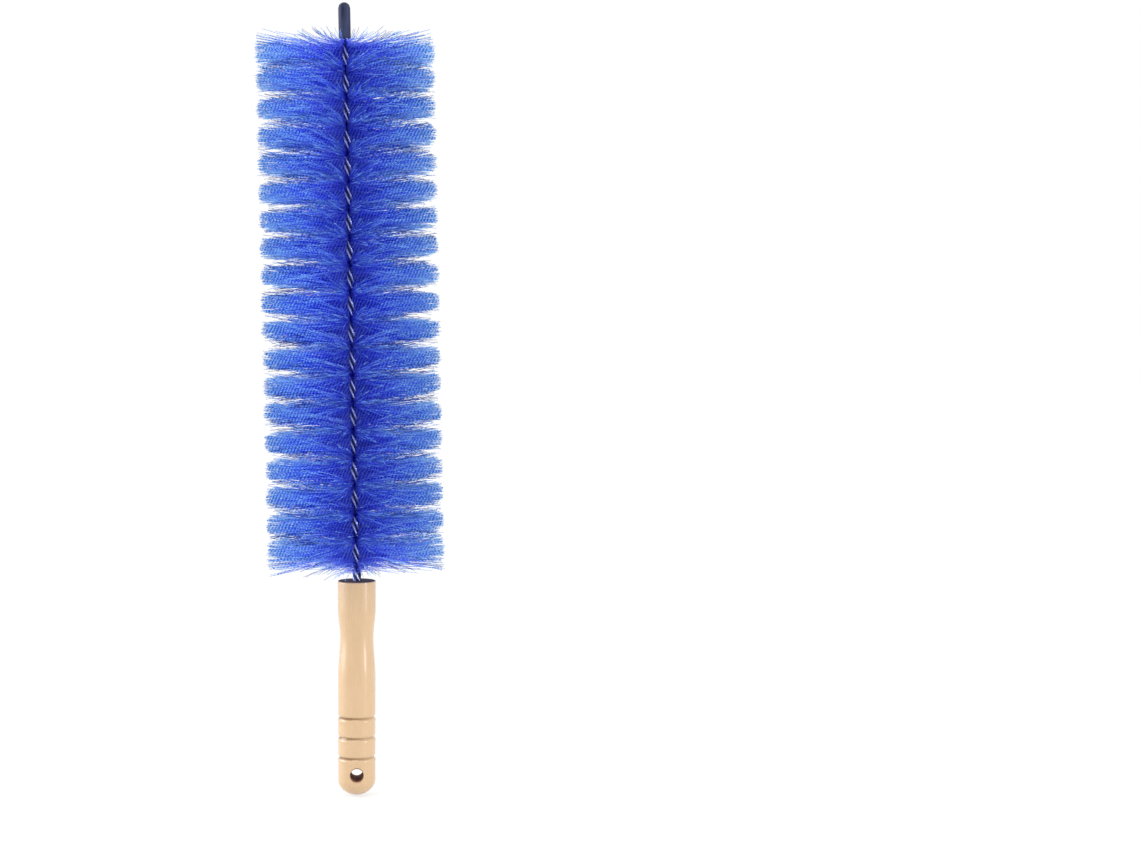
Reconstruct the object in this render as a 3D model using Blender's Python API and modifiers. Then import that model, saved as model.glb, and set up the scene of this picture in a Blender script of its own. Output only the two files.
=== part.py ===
"""A round fan duster: a twisted-in-wire brush on a turned wooden handle.

Lengths are in metres. +Z runs up the handle's axis towards the tip of the brush, the hang hole runs along Y,
and the origin is the middle of that hole. Heights on the handle are measured from its butt, and heights on
the stem from the handle's mouth, where the stem comes out.
"""

import math
import random

import bmesh
import bpy
from mathutils import Matrix, Vector

# Handle
HANDLE_LENGTH = 0.1095
MOUTH_DIAMETER = 0.0193
WAIST_DIAMETER = 0.0169
GRIP_DIAMETER = 0.0190
RIM_ROUND = 0.0006
DOME_HEIGHT = 0.0080
UPPER_SHOULDER_SHARE = 0.877
WAIST_SHARE = 0.735
LOWER_SHOULDER_SHARE = 0.546
GROOVE_COUNT = 3
GROOVE_WIDTH = 0.0014
GROOVE_DEPTH = 0.0007
LOWEST_GROOVE_HEIGHT = 0.0196
GROOVE_SPACING = 0.0102
HOLE_DIAMETER = 0.0066
HOLE_HEIGHT = 0.0113
SOCKET_DEPTH = 0.0320
SOCKET_GAP = 0.0003
CUT_OVERRUN = 0.0020

# Stem: four wires twisted to the left, in two pairs with the band of bristle roots pinched between them
STEM_LEAN = math.radians(-1.25)
WIRE_DIAMETER = 0.0016
PAIR_GAP = 0.0003
PINCH_GAP = 0.00025
END_GAP = 0.0003

# Tip cap
CAP_LENGTH = 0.0180
CAP_WALL = 0.00045
CAP_END = 0.0012
CAP_GAP = 0.0002
CAP_ABOVE_ROOTS = 0.0017

# Bristles: one row for each half turn of the twist
ROW_COUNT = 19
ROW_HEIGHT = 0.0139
ROW_GAP = 0.0003
FIRST_ROW_HEIGHT = 0.0067
BAND_THICKNESS = 0.0004
BRISTLE_REACH = 0.0450
STRANDS_A_SIDE = 12
STRAND_TIP_RADIUS = 0.0014
STRAND_ROOT_SHARE = 0.45
STRAND_TILT = math.radians(4.5)
STRAND_TURN = math.radians(2)
STRAND_SHORTENING_SHARE = 0.03
SEED = 7

# Facets
HANDLE_SIDES = 32
RIM_FACETS = 2
SHOULDER_FACETS = 6
DOME_FACETS = 7
BORE_SIDES = 24
CAP_SIDES = 20
CAP_FACETS = 5
WIRE_POINTS_A_TURN = 10
BAND_FACETS = 8
STRAND_SIDES = 3
MERGE_DISTANCE = 0.00001
SHARP_ANGLE = math.radians(35)

# Sizes that follow from the ones above
MOUTH_HEIGHT = HANDLE_LENGTH - HOLE_HEIGHT
WIRE_RADIUS = WIRE_DIAMETER / 2
WIRE_ALONG_BAND = WIRE_RADIUS + PAIR_GAP / 2
WIRE_OFF_BAND = WIRE_RADIUS + PINCH_GAP + BAND_THICKNESS / 2
BUNDLE_RADIUS = math.hypot(WIRE_ALONG_BAND, WIRE_OFF_BAND) + WIRE_RADIUS
BAND_WIDTH = 2 * WIRE_ALONG_BAND
LAST_ROOT_HEIGHT = FIRST_ROW_HEIGHT + ROW_COUNT * ROW_HEIGHT
CAP_START = LAST_ROOT_HEIGHT + CAP_ABOVE_ROOTS
TIP_HEIGHT = CAP_START + CAP_LENGTH


def clear_scene():
    for old in list(bpy.data.objects):
        bpy.data.objects.remove(old, do_unlink=True)


def new_collection(name):
    made = bpy.data.collections.new(name)
    bpy.context.scene.collection.children.link(made)
    return made


def new_material(name, colour, roughness, metallic=0.0):
    made = bpy.data.materials.new(name)
    made.use_nodes = True
    made.diffuse_color = (*colour, 1)
    shader = made.node_tree.nodes["Principled BSDF"]
    shader.inputs["Base Color"].default_value = (*colour, 1)
    shader.inputs["Roughness"].default_value = roughness
    shader.inputs["Metallic"].default_value = metallic
    return made


def mesh_object(name, bm, collection):
    """A new object that holds what bm holds."""
    mesh = bpy.data.meshes.new(name)
    bm.to_mesh(mesh)
    bm.free()
    made = bpy.data.objects.new(name, mesh)
    collection.objects.link(made)
    return made


def as_cutter(made):
    made.hide_render = True
    made.display_type = "WIRE"
    return made


def turned(name, profile, sides, collection):
    """A turned solid: the profile's (radius, height) points run down its outer side and end on the axis."""
    bm = bmesh.new()
    points = [bm.verts.new((radius, 0, height)) for radius, height in profile]
    for upper, lower in zip(points, points[1:]):
        bm.edges.new((upper, lower))
    made = mesh_object(name, bm, collection)
    lathe = made.modifiers.new("lathe", "SCREW")
    lathe.axis = "Z"
    lathe.angle = math.tau
    lathe.screw_offset = 0
    lathe.steps = sides
    lathe.render_steps = sides
    lathe.use_merge_vertices = True
    lathe.merge_threshold = MERGE_DISTANCE
    return made


def boolean(made, other, operation):
    cut = made.modifiers.new(other.name, "BOOLEAN")
    cut.operation = operation
    cut.object = other
    cut.solver = "EXACT"


def settle(made, material):
    """Replace the object's mesh by its evaluated one, shade it and give it its material."""
    graph = bpy.context.evaluated_depsgraph_get()
    graph.update()
    mesh = bpy.data.meshes.new_from_object(made.evaluated_get(graph))
    made.modifiers.clear()
    made.data = mesh
    mesh.name = made.name
    mesh.materials.clear()
    mesh.materials.append(material)
    mesh.shade_smooth()
    mesh.set_sharp_from_angle(angle=SHARP_ANGLE)


def quarter_arc(centre, across, along, facets):
    """Points on a quarter of an ellipse round centre, from straight above it to straight beside it."""
    points = []
    for step in range(facets + 1):
        angle = step / facets * math.pi / 2
        points.append((centre[0] + across * math.sin(angle), centre[1] + along * math.cos(angle)))
    return points


def eased(share):
    """A smooth step from 0 to 1."""
    return share * share * (3 - 2 * share)


def shoulder(from_radius, from_height, to_radius, to_height):
    """A smooth run of the profile between two radii, without its first point."""
    points = []
    for step in range(1, SHOULDER_FACETS + 1):
        share = step / SHOULDER_FACETS
        radius = from_radius + (to_radius - from_radius) * eased(share)
        points.append((radius, from_height + (to_height - from_height) * share))
    return points


def handle_profile():
    mouth_radius = MOUTH_DIAMETER / 2
    waist_radius = WAIST_DIAMETER / 2
    grip_radius = GRIP_DIAMETER / 2
    upper_shoulder = HANDLE_LENGTH * UPPER_SHOULDER_SHARE
    waist = HANDLE_LENGTH * WAIST_SHARE
    lower_shoulder = HANDLE_LENGTH * LOWER_SHOULDER_SHARE
    rim_centre = (mouth_radius - RIM_ROUND, HANDLE_LENGTH - RIM_ROUND)
    points = [(0, HANDLE_LENGTH)]
    points += quarter_arc(rim_centre, RIM_ROUND, RIM_ROUND, RIM_FACETS)
    points.append((mouth_radius, upper_shoulder))
    points += shoulder(mouth_radius, upper_shoulder, waist_radius, waist)
    points += shoulder(waist_radius, waist, grip_radius, lower_shoulder)
    for index in reversed(range(GROOVE_COUNT)):
        height = LOWEST_GROOVE_HEIGHT + index * GROOVE_SPACING
        points.append((grip_radius, height + GROOVE_WIDTH / 2))
        points.append((grip_radius - GROOVE_DEPTH, height))
        points.append((grip_radius, height - GROOVE_WIDTH / 2))
    points += quarter_arc((0, DOME_HEIGHT), grip_radius, -DOME_HEIGHT, DOME_FACETS)[::-1]
    return points


def cylinder_cutter(name, radius, length, collection):
    """A cylinder along Z whose middle is its origin."""
    bm = bmesh.new()
    bmesh.ops.create_cone(
        bm, cap_ends=True, segments=BORE_SIDES, radius1=radius, radius2=radius, depth=length
    )
    return as_cutter(mesh_object(name, bm, collection))


def make_handle(parts, cutters, material):
    """The turned body, with the hang hole through it and the stem's blind socket drilled at the stem's lean."""
    handle = turned("handle", handle_profile(), HANDLE_SIDES, parts)
    handle.location.z = -HOLE_HEIGHT
    hole = cylinder_cutter("hang_hole_drill", HOLE_DIAMETER / 2, GRIP_DIAMETER + CUT_OVERRUN, cutters)
    hole.rotation_euler.x = math.pi / 2
    socket_length = SOCKET_DEPTH + CUT_OVERRUN
    socket = cylinder_cutter("socket_drill", BUNDLE_RADIUS + SOCKET_GAP, socket_length, cutters)
    drill_place = Matrix.Translation((0, 0, CUT_OVERRUN - socket_length / 2))
    socket.matrix_world = stem_matrix() @ drill_place
    boolean(handle, hole, "DIFFERENCE")
    boolean(handle, socket, "DIFFERENCE")
    settle(handle, material)


def stem_matrix():
    """The stem's own frame: its origin is the middle of the handle's mouth, and +Z runs up the leaning stem."""
    return Matrix.Translation((0, 0, MOUTH_HEIGHT)) @ Matrix.Rotation(STEM_LEAN, 4, "Y")


def band_turn(height):
    """How far the band of roots is turned at a height on the stem. It lies along X in the middle of each row."""
    return -math.pi * (height - FIRST_ROW_HEIGHT - ROW_HEIGHT / 2) / ROW_HEIGHT


def make_wire(name, along, off, stem, parts, material):
    """One wire, at a fixed place beside the band, which carries it round as it turns."""
    bottom = END_GAP - SOCKET_DEPTH
    top = TIP_HEIGHT - CAP_END - END_GAP
    count = round((top - bottom) / (2 * ROW_HEIGHT) * WIRE_POINTS_A_TURN)
    curve = bpy.data.curves.new(name, "CURVE")
    curve.dimensions = "3D"
    curve.bevel_depth = WIRE_RADIUS
    curve.bevel_resolution = 1
    curve.use_fill_caps = True
    spline = curve.splines.new("POLY")
    spline.points.add(count)
    for index, point in enumerate(spline.points):
        height = bottom + (top - bottom) * index / count
        place = Matrix.Rotation(band_turn(height), 3, "Z") @ Vector((along, off, 0))
        point.co = (place.x, place.y, height, 1)
    curve.materials.append(material)
    wire = bpy.data.objects.new(name, curve)
    wire.parent = stem
    parts.objects.link(wire)


def make_wires(stem, parts, material):
    places = [(1, 1), (-1, 1), (-1, -1), (1, -1)]
    for number, (along_side, off_side) in enumerate(places, start=1):
        name = f"wire_strand_{number}"
        make_wire(name, along_side * WIRE_ALONG_BAND, off_side * WIRE_OFF_BAND, stem, parts, material)


def make_cap(stem, parts, material):
    """A soft cup with a round end, pushed over the cut ends of the wires."""
    bore = BUNDLE_RADIUS + CAP_GAP
    outer = bore + CAP_WALL
    profile = quarter_arc((0, CAP_LENGTH - outer), outer, outer, CAP_FACETS)
    profile += [(outer, 0), (bore, 0), (bore, CAP_LENGTH - CAP_END), (0, CAP_LENGTH - CAP_END)]
    cap = turned("tip_cap", profile, CAP_SIDES, parts)
    cap.parent = stem
    cap.location.z = CAP_START
    settle(cap, material)


def twisted_band(name, collection):
    """The slice of pinched filament roots of one row, a flat bar given its half turn."""
    bm = bmesh.new()
    bmesh.ops.create_cube(bm, size=1)
    bmesh.ops.scale(bm, vec=(BAND_WIDTH, BAND_THICKNESS, ROW_HEIGHT - ROW_GAP), verts=bm.verts)
    upright = [edge for edge in bm.edges if edge.verts[0].co.z != edge.verts[1].co.z]
    bmesh.ops.subdivide_edges(bm, edges=upright, cuts=BAND_FACETS - 1, use_grid_fill=True)
    middle = FIRST_ROW_HEIGHT + ROW_HEIGHT / 2
    for corner in bm.verts:
        corner.co.rotate(Matrix.Rotation(band_turn(middle + corner.co.z), 3, "Z"))
    bmesh.ops.triangulate(bm, faces=bm.faces, quad_method="SHORT_EDGE")
    return mesh_object(name, bm, collection)


def add_strand(bm, height, turn, tilt, reach):
    """One three-sided strand, which widens outwards from the axis as the filaments it stands for fan out."""
    root_radius = BAND_THICKNESS * STRAND_ROOT_SHARE
    start = BAND_THICKNESS
    length = reach / math.cos(tilt) - start
    along = Matrix.Rotation(turn, 4, "Z") @ Matrix.Rotation(math.pi / 2 - tilt, 4, "Y")
    place = Matrix.Translation((0, 0, height)) @ along @ Matrix.Translation((0, 0, start + length / 2))
    bmesh.ops.create_cone(
        bm,
        cap_ends=True,
        segments=STRAND_SIDES,
        radius1=root_radius,
        radius2=STRAND_TIP_RADIUS,
        depth=length,
        matrix=place,
    )


def row_strands(name, row, collection):
    """The strands of one row, which leave the band's two edges at even steps up its half turn."""
    chance = random.Random(SEED + row)
    bm = bmesh.new()
    for step in range(STRANDS_A_SIDE):
        height = ((step + 1 / 2) / STRANDS_A_SIDE - 1 / 2) * ROW_HEIGHT
        for side in (0, math.pi):
            turn = band_turn(FIRST_ROW_HEIGHT + ROW_HEIGHT / 2 + height) + side
            turn += chance.uniform(-STRAND_TURN, STRAND_TURN)
            tilt = chance.uniform(-STRAND_TILT, STRAND_TILT)
            reach = BRISTLE_REACH * (1 - chance.uniform(0, STRAND_SHORTENING_SHARE))
            add_strand(bm, height, turn, tilt, reach)
    return as_cutter(mesh_object(name, bm, collection))


def make_row(row, stem, parts, cutters, material):
    """One half turn of the brush: its slice of the band with the strands fused to it."""
    name = f"bristle_row_{row + 1:02d}"
    band = twisted_band(name, parts)
    strands = row_strands(f"{name}_strands", row, cutters)
    for piece in (band, strands):
        piece.parent = stem
        piece.location.z = FIRST_ROW_HEIGHT + (row + 1 / 2) * ROW_HEIGHT
    boolean(band, strands, "UNION")
    settle(band, material)


def main():
    clear_scene()
    parts = new_collection("fan_duster")
    cutters = new_collection("cutters")
    beech = new_material("turned_beech", (0.82, 0.60, 0.37), 0.45)
    steel = new_material("dark_steel_wire", (0.05, 0.06, 0.12), 0.35, 1.0)
    vinyl = new_material("black_vinyl", (0.045, 0.05, 0.085), 0.55)
    nylon = new_material("blue_filament", (0.035, 0.09, 0.65), 0.4)

    stem = bpy.data.objects.new("stem_axis", None)
    stem.matrix_world = stem_matrix()
    parts.objects.link(stem)

    make_handle(parts, cutters, beech)
    make_wires(stem, parts, steel)
    make_cap(stem, parts, vinyl)
    for row in range(ROW_COUNT):
        make_row(row, stem, parts, cutters, nylon)


main()
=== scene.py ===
"""The looks of a round fan duster: a twisted-in-wire brush of crimped blue filament on a turned beech handle.

Lengths are in metres, in the model's own frame. +Z runs up the handle's axis and the hang hole runs along Y.
Heights on the handle are measured from its butt. The stem has a frame of its own, which starts in the middle of
the handle's mouth and leans a little; heights on the stem are measured along it.
"""

import math
from functools import partial

import bmesh
import bpy
from mathutils import Matrix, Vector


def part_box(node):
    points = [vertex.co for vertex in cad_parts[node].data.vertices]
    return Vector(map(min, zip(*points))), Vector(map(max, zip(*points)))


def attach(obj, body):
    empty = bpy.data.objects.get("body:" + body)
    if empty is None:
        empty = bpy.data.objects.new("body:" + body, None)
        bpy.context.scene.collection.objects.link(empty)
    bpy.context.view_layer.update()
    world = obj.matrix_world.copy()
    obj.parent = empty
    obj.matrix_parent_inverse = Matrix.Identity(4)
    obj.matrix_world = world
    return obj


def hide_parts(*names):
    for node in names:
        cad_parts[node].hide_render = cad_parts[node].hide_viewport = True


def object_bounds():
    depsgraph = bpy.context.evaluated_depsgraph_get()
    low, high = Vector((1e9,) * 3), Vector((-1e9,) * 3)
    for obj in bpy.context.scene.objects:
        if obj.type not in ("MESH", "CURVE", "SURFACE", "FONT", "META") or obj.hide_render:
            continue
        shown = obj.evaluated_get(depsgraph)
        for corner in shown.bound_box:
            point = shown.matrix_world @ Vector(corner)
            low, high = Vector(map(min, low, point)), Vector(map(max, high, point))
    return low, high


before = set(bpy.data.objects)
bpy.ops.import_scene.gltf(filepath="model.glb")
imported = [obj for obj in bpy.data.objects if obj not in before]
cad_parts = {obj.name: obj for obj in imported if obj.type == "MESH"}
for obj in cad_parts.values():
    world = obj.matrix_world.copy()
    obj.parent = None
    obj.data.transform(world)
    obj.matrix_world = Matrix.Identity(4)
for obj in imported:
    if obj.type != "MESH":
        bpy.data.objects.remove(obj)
cad_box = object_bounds()

# How near the axis the ends of a turned outline close to one point
POLE_MERGE = 0.00001

# Handle
HANDLE_LOW, HANDLE_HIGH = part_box("handle")
HANDLE_LENGTH = HANDLE_HIGH.z - HANDLE_LOW.z
MOUTH_RADIUS = (HANDLE_HIGH.x - HANDLE_LOW.x) / 2
WAIST_RADIUS = 0.00845
GRIP_RADIUS = 0.0095
RIM_ROUND = 0.0007
DOME_HEIGHT = 0.0080
UPPER_SHOULDER_SHARE = 0.877
WAIST_SHARE = 0.735
LOWER_SHOULDER_SHARE = 0.546
GROOVE_HEIGHTS = (0.0196, 0.0298, 0.0400)
GROOVE_HALF_WIDTH = 0.0007
GROOVE_DEPTH = 0.0008
LIP_RISE = 0.0002
LIP_OFFSET = 2.2
GROOVES_TOP = 0.0450
RIM_STEPS = 6
DOME_STEPS = 24
HOLE_RADIUS = 0.0033
HOLE_FLARE = 0.0004
SOCKET_RADIUS = 0.00267
SOCKET_DEPTH = 0.0320
CUT_OVERRUN = 0.0020
PROFILE_STEP = 0.0005
HANDLE_SIDES = 128
CUTTER_SIDES = 64
HANDLE_CORNER = math.radians(32)

# Stem
STEM_LEAN = math.radians(-1.25)
HALF_TURN = 0.0139
WIRE_DIAMETER = 0.00165
WIRE_ALONG_BAND = 0.00095
WIRE_OFF_BAND = 0.00125
WIRE_SIDES = 14
WIRE_POINTS_A_TURN = 30
WIRE_CLEARANCE = 0.0003

# Tip cap
CAP_START = 0.2725
CAP_LENGTH = 0.0180
CAP_BORE_RADIUS = 0.00257
CAP_WALL = 0.00045
CAP_END = 0.0012
CAP_SIDES = 64
CAP_ROUND_SHARE = 1.15
CAP_ROUND_POWER = 0.92
CAP_ROUND_STEPS = 16
CAP_WALL_STEPS = 12
CAP_LIP_STEPS = 8
CAP_CORNER = math.radians(50)

# Bristles. A pair of shares is the middle row's and the end rows', and END_GROWTH is how fast the rows between them
# grow like the end ones. Below LIGHT_TURN_ROW a lobe is painted pale as if lit on its upper side and painted dark as
# shade on its lower one, and above it the other way round, in full from LIGHT_TURN_ROWS off.
ROW_COUNT = 19
FIRST_ROW_HEIGHT = 0.0067
END_GROWTH = 1.8
SPREAD_SHARES = (0.94, 1.02)
LOOSE_SHARES = (0.22, 0.3)
LIGHT_TURN_ROW = 9.2
LIGHT_TURN_ROWS = 0.5
BOTTOM_END = {"Outer Side": -1.0, "End Splay": 0.0050, "End Run": 0.0032}
TOP_END = {"Outer Side": 1.0, "End Splay": 0.0008, "End Run": 0.0015}
NO_END = {"Outer Side": 0.0, "End Splay": 0.0, "End Run": 0.0}
SEED = 11
SEED_STEP = 101
TONES = 4
TONE_BEADS = 4
# Lengths in metres and angles in radians. A place in a row runs from -1 at its lower end to 1 at its upper one.
BRISTLES = {
    # One filament; its crimps reach their depth over the first part of its length, a sixth here
    "Filaments": 1200,
    "Diameter": 0.00024,
    "Reach": 0.0450,
    "Reach Scatter Share": 0.018,
    "Crimps": 12,
    "Crimp Depth": 0.0002,
    "Crimp Rise": 6.0,
    # Its root, its direction and its bend
    "Row Height": HALF_TURN,
    "Band Half Thickness": 0.0002,
    "Front Share": 0.86,
    "Turn": math.radians(30),
    "Most Aside": math.radians(85),
    "Tip Rise": 0.0021,
    "Sway": 0.0005,
    "Bend Power": 3.0,
    "Stray Tilt": math.radians(6),
    "Stray Power": 11.0,
    # The lobe that it stands in
    "Lobe Half Height": HALF_TURN / 2,
    "Front Spread Share": 0.75,
    "Sheet Power": 2.3,
    "Lobe Rounding Share": 0.33,
    "Lobe Rounding Power": 5.0,
    "Lobe Wander": 0.0022,
    # The loose filaments between two lobes
    "Loose Place Share": 0.95,
    "Loose Spread Share": 0.35,
    "Loose Length Share": 0.74,
    "Loose Length Scatter": 0.26,
    # The end rows, with their crown of standing filaments
    "End Fill Share": 0.5,
    "End Draw": 0.0012,
    "Run Power": 5.0,
    "Crown Share": 0.74,
    "Crown Spread Share": 0.5,
    "Crown Fade Start": 0.76,
    "Crown Fade Share": 0.85,
    "Crown Start": 0.45,
    "Crown Full": 0.65,
    "Crown Bend": 0.0048,
    # Its tone, painted light or shade for some, and the map of its crimp beads, which carry painted highlights
    "Rim Share": 0.55,
    "Pale Below": 0.1,
    "Shaded Above": 0.3,
    "Tones": TONES,
    "Tone Beads": TONE_BEADS,
    "Bead Pitch": 0.0016,
    "Bead Slope": 0.47,
    "Sidelong Share": 0.72,
    "Map Length": 0.94,
    "Map Width": 0.05,
}

# The photograph's camera, in pixels of its 1140 by 855 frame
PHOTO_WIDTH = 1140
PHOTO_HEIGHT = 855
FOCAL_PIXELS = 2277
PIXEL = 0.0005066
AXIS_PIXEL_X = 357.1
MOUTH_PIXEL_Y = 577.2
LEVEL_PIXEL_Y = 300
AIM_PIXEL_Y = 304
SENSOR_WIDTH = 36

# Studio. Each lamp has its name, its place from the middle of the duster, its width, height and watts.
LAMPS = [
    ("left_softbox", (-1.17, 0.15, 0.2), 1.0, 0.9, 13),
    ("right_strip", (0.99, -0.67, 0.05), 0.1, 1, 7.5),
    ("top_softbox", (-0.1, -0.4, 1), 0.7, 0.7, 4.5),
]
AMBIENT = 0.98
FLOOR_HALF_WIDTH = 6
FLOOR_GAP = 0.0005
FLOOR_WHITE = 1.03


def linear(hex_colour):
    """An sRGB hex colour as the linear RGBA that Blender's sockets take."""
    channels = [int(hex_colour[at : at + 2], 16) / 255 for at in (1, 3, 5)]
    return [c / 12.92 if c <= 0.04045 else ((c + 0.055) / 1.055) ** 2.4 for c in channels] + [1]


def add_node(tree, kind, inputs=None, **settings):
    """Add a node and give back its first live output, or the node itself where it has none. Settings are its own
    properties; inputs give its sockets a value or another node's socket."""
    node = tree.nodes.new(kind)
    for name, value in settings.items():
        setattr(node, name, value)
    for key, value in (inputs or {}).items():
        if isinstance(value, bpy.types.NodeSocket):
            tree.links.new(value, node.inputs[key])
        else:
            node.inputs[key].default_value = value
    return next((socket for socket in node.outputs if socket.enabled), node)


def new_material(name):
    """An empty material, and the function that adds nodes to it."""
    made = bpy.data.materials.new(name)
    made.use_nodes = True
    made.node_tree.nodes.clear()
    return made, partial(add_node, made.node_tree)


def wear(made, material):
    """Give a finished piece its material and slot, and let it ride on the one body."""
    made.data.materials.clear()
    made.data.materials.append(material)
    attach(made, "root")


def stem_matrix():
    """The stem's own frame, whose origin is the middle of the handle's mouth."""
    return Matrix.Translation((0, 0, HANDLE_HIGH.z)) @ Matrix.Rotation(STEM_LEAN, 4, "Y")


def plain_mesh(made):
    """Turn the object's evaluated shape into its mesh and take its modifiers off."""
    graph = bpy.context.evaluated_depsgraph_get()
    mesh = bpy.data.meshes.new_from_object(made.evaluated_get(graph), preserve_all_data_layers=True, depsgraph=graph)
    made.modifiers.clear()
    made.data = mesh
    mesh.name = made.name


def empty_piece(name):
    """A linked object with an empty mesh."""
    made = bpy.data.objects.new(name, bpy.data.meshes.new(name))
    bpy.context.scene.collection.objects.link(made)
    return made


def run_tree(name, tree, values):
    """A plain mesh object that holds what a geometry tree makes of these named values."""
    made = empty_piece(name)
    modifier = made.modifiers.new(tree.name, "NODES")
    modifier.node_group = tree
    for socket in tree.interface.items_tree:
        if socket.in_out == "INPUT":
            modifier[socket.identifier] = values[socket.name]
    plain_mesh(made)
    made.data.transform(stem_matrix())
    return made


def new_tree(name, values):
    """A geometry tree with an input for each of these values, the function that adds nodes to it, and its inputs."""
    kinds = {int: "Int", float: "Float", bpy.types.Material: "Material"}
    tree = bpy.data.node_groups.new(name, "GeometryNodeTree")
    for label, value in values.items():
        tree.interface.new_socket(label, in_out="INPUT", socket_type=f"NodeSocket{kinds[type(value)]}")
    tree.interface.new_socket("Geometry", in_out="OUTPUT", socket_type="NodeSocketGeometry")
    add = partial(add_node, tree)
    return tree, add, add("NodeGroupInput").node.outputs


def turned(name, profile, sides):
    """A turned solid from (radius, height) points that run down its outer side and end on the axis."""
    bm = bmesh.new()
    points = [bm.verts.new((radius, 0, height)) for radius, height in profile]
    for upper, lower in zip(points, points[1:]):
        bm.edges.new((upper, lower))
    made = empty_piece(name)
    bm.to_mesh(made.data)
    bm.free()
    lathe = made.modifiers.new("lathe", "SCREW")
    lathe.steps = sides
    lathe.render_steps = sides
    lathe.use_merge_vertices = True
    lathe.merge_threshold = POLE_MERGE
    return made


# Handle


def eased(share):
    """A smooth step from 0 to 1."""
    share = min(1, max(0, share))
    return share * share * (3 - 2 * share)


def handle_radius(height):
    """The radius of the turned handle at a height, without its rounded ends."""
    upper = HANDLE_LENGTH * UPPER_SHOULDER_SHARE
    waist = HANDLE_LENGTH * WAIST_SHARE
    lower = HANDLE_LENGTH * LOWER_SHOULDER_SHARE
    if height > waist:
        radius = WAIST_RADIUS + (MOUTH_RADIUS - WAIST_RADIUS) * eased((height - waist) / (upper - waist))
    else:
        radius = WAIST_RADIUS + (GRIP_RADIUS - WAIST_RADIUS) * eased((waist - height) / (waist - lower))
    for groove in GROOVE_HEIGHTS:
        off = (height - groove) / GROOVE_HALF_WIDTH
        radius -= GROOVE_DEPTH * math.exp(-off * off)
        radius += LIP_RISE * math.exp(-((off + LIP_OFFSET) ** 2))
    return radius


def handle_profile():
    """The handle's outline: its flat mouth, rounded rim, waist, grooved grip and elliptical butt."""
    points = [(0, HANDLE_LENGTH)]
    for step in range(RIM_STEPS + 1):
        angle = step / RIM_STEPS * math.pi / 2
        out = MOUTH_RADIUS - RIM_ROUND + RIM_ROUND * math.sin(angle)
        points.append((out, HANDLE_LENGTH - RIM_ROUND + RIM_ROUND * math.cos(angle)))
    top = HANDLE_LENGTH - RIM_ROUND
    steps = round((top - DOME_HEIGHT) / PROFILE_STEP)
    for step in range(1, steps):
        height = top + (DOME_HEIGHT - top) * step / steps
        points.append((handle_radius(height), height))
    for step in range(DOME_STEPS + 1):
        angle = step / DOME_STEPS * math.pi / 2
        points.append((GRIP_RADIUS * math.cos(angle), DOME_HEIGHT * (1 - math.sin(angle))))
    return points


def cutter(name, profile, place):
    """A turned solid that stands for what a drill takes away."""
    made = turned(name, profile, CUTTER_SIDES)
    plain_mesh(made)
    made.data.transform(place)
    return made


def cut(made, tool):
    """Take the tool's shape away from the piece."""
    away = made.modifiers.new(tool.name, "BOOLEAN")
    away.operation = "DIFFERENCE"
    away.object = tool
    away.solver = "EXACT"


def make_handle(material):
    """The turned handle with the flared hang hole through it and the socket that the stem goes into."""
    handle = turned("handle_turning", handle_profile(), HANDLE_SIDES)
    plain_mesh(handle)
    handle.data.transform(Matrix.Translation((0, 0, HANDLE_LOW.z)))
    reach = GRIP_RADIUS + CUT_OVERRUN
    wide = HOLE_RADIUS + HOLE_FLARE + CUT_OVERRUN
    near = GRIP_RADIUS - HOLE_FLARE - HOLE_RADIUS**2 / (2 * GRIP_RADIUS)
    hole_profile = [(0, reach), (wide, reach), (HOLE_RADIUS, near), (HOLE_RADIUS, -near), (wide, -reach), (0, -reach)]
    hole = cutter("hang_hole_drill", hole_profile, Matrix.Rotation(math.pi / 2, 4, "X"))
    socket_profile = [(out, CUT_OVERRUN) for out in (0, SOCKET_RADIUS)]
    socket_profile += [(out, -SOCKET_DEPTH) for out in (SOCKET_RADIUS, 0)]
    socket = cutter("socket_drill", socket_profile, stem_matrix())
    cut(handle, hole)
    cut(handle, socket)
    plain_mesh(handle)
    handle.data.shade_smooth()
    handle.data.set_sharp_from_angle(angle=HANDLE_CORNER)
    for tool in (hole, socket):
        bpy.data.objects.remove(tool)
    wear(handle, material)
    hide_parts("handle")


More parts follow.
